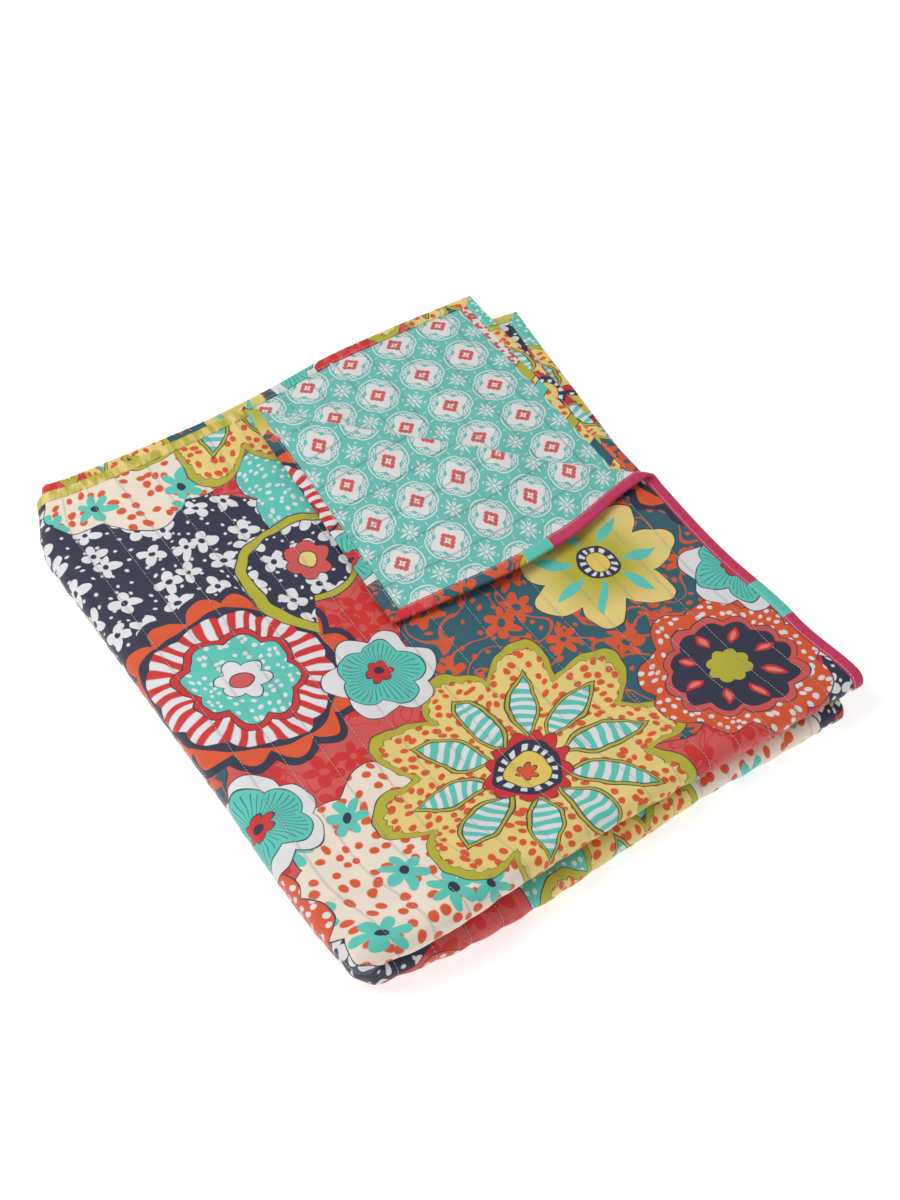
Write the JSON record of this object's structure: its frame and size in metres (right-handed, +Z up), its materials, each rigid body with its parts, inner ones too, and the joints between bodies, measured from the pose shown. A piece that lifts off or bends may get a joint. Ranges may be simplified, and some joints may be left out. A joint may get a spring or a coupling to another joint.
{
  "type": "quilted bedspread",
  "caption": "Channel-quilted cotton bedspread with bound edges, folded in quarters with one corner of the top layer turned back to show the reverse.",
  "frame": {"origin": "on the surface that the folded bedspread lies on, under the middle of its bounding box", "axes": "+Z up, +Y along the quilting seams from the near rolls to the far bound ends, +X across from the folded spine to the bound side"},
  "size_m": [0.6965, 0.7984, 0.0867],
  "materials": {
    "printed_cotton": "printed cotton, channel quilted",
    "reverse_cotton": "printed cotton, channel quilted",
    "side_binding": "printed cotton binding",
    "end_binding": "printed cotton binding"
  },
  "bodies": {
    "root": {"face_panel": "printed_cotton", "reverse_panel": "reverse_cotton", "binding_upper_side": "side_binding", "binding_lower_side": "side_binding", "binding_outer_end": "end_binding", "binding_inner_end": "end_binding"}
  },
  "joints": []
}
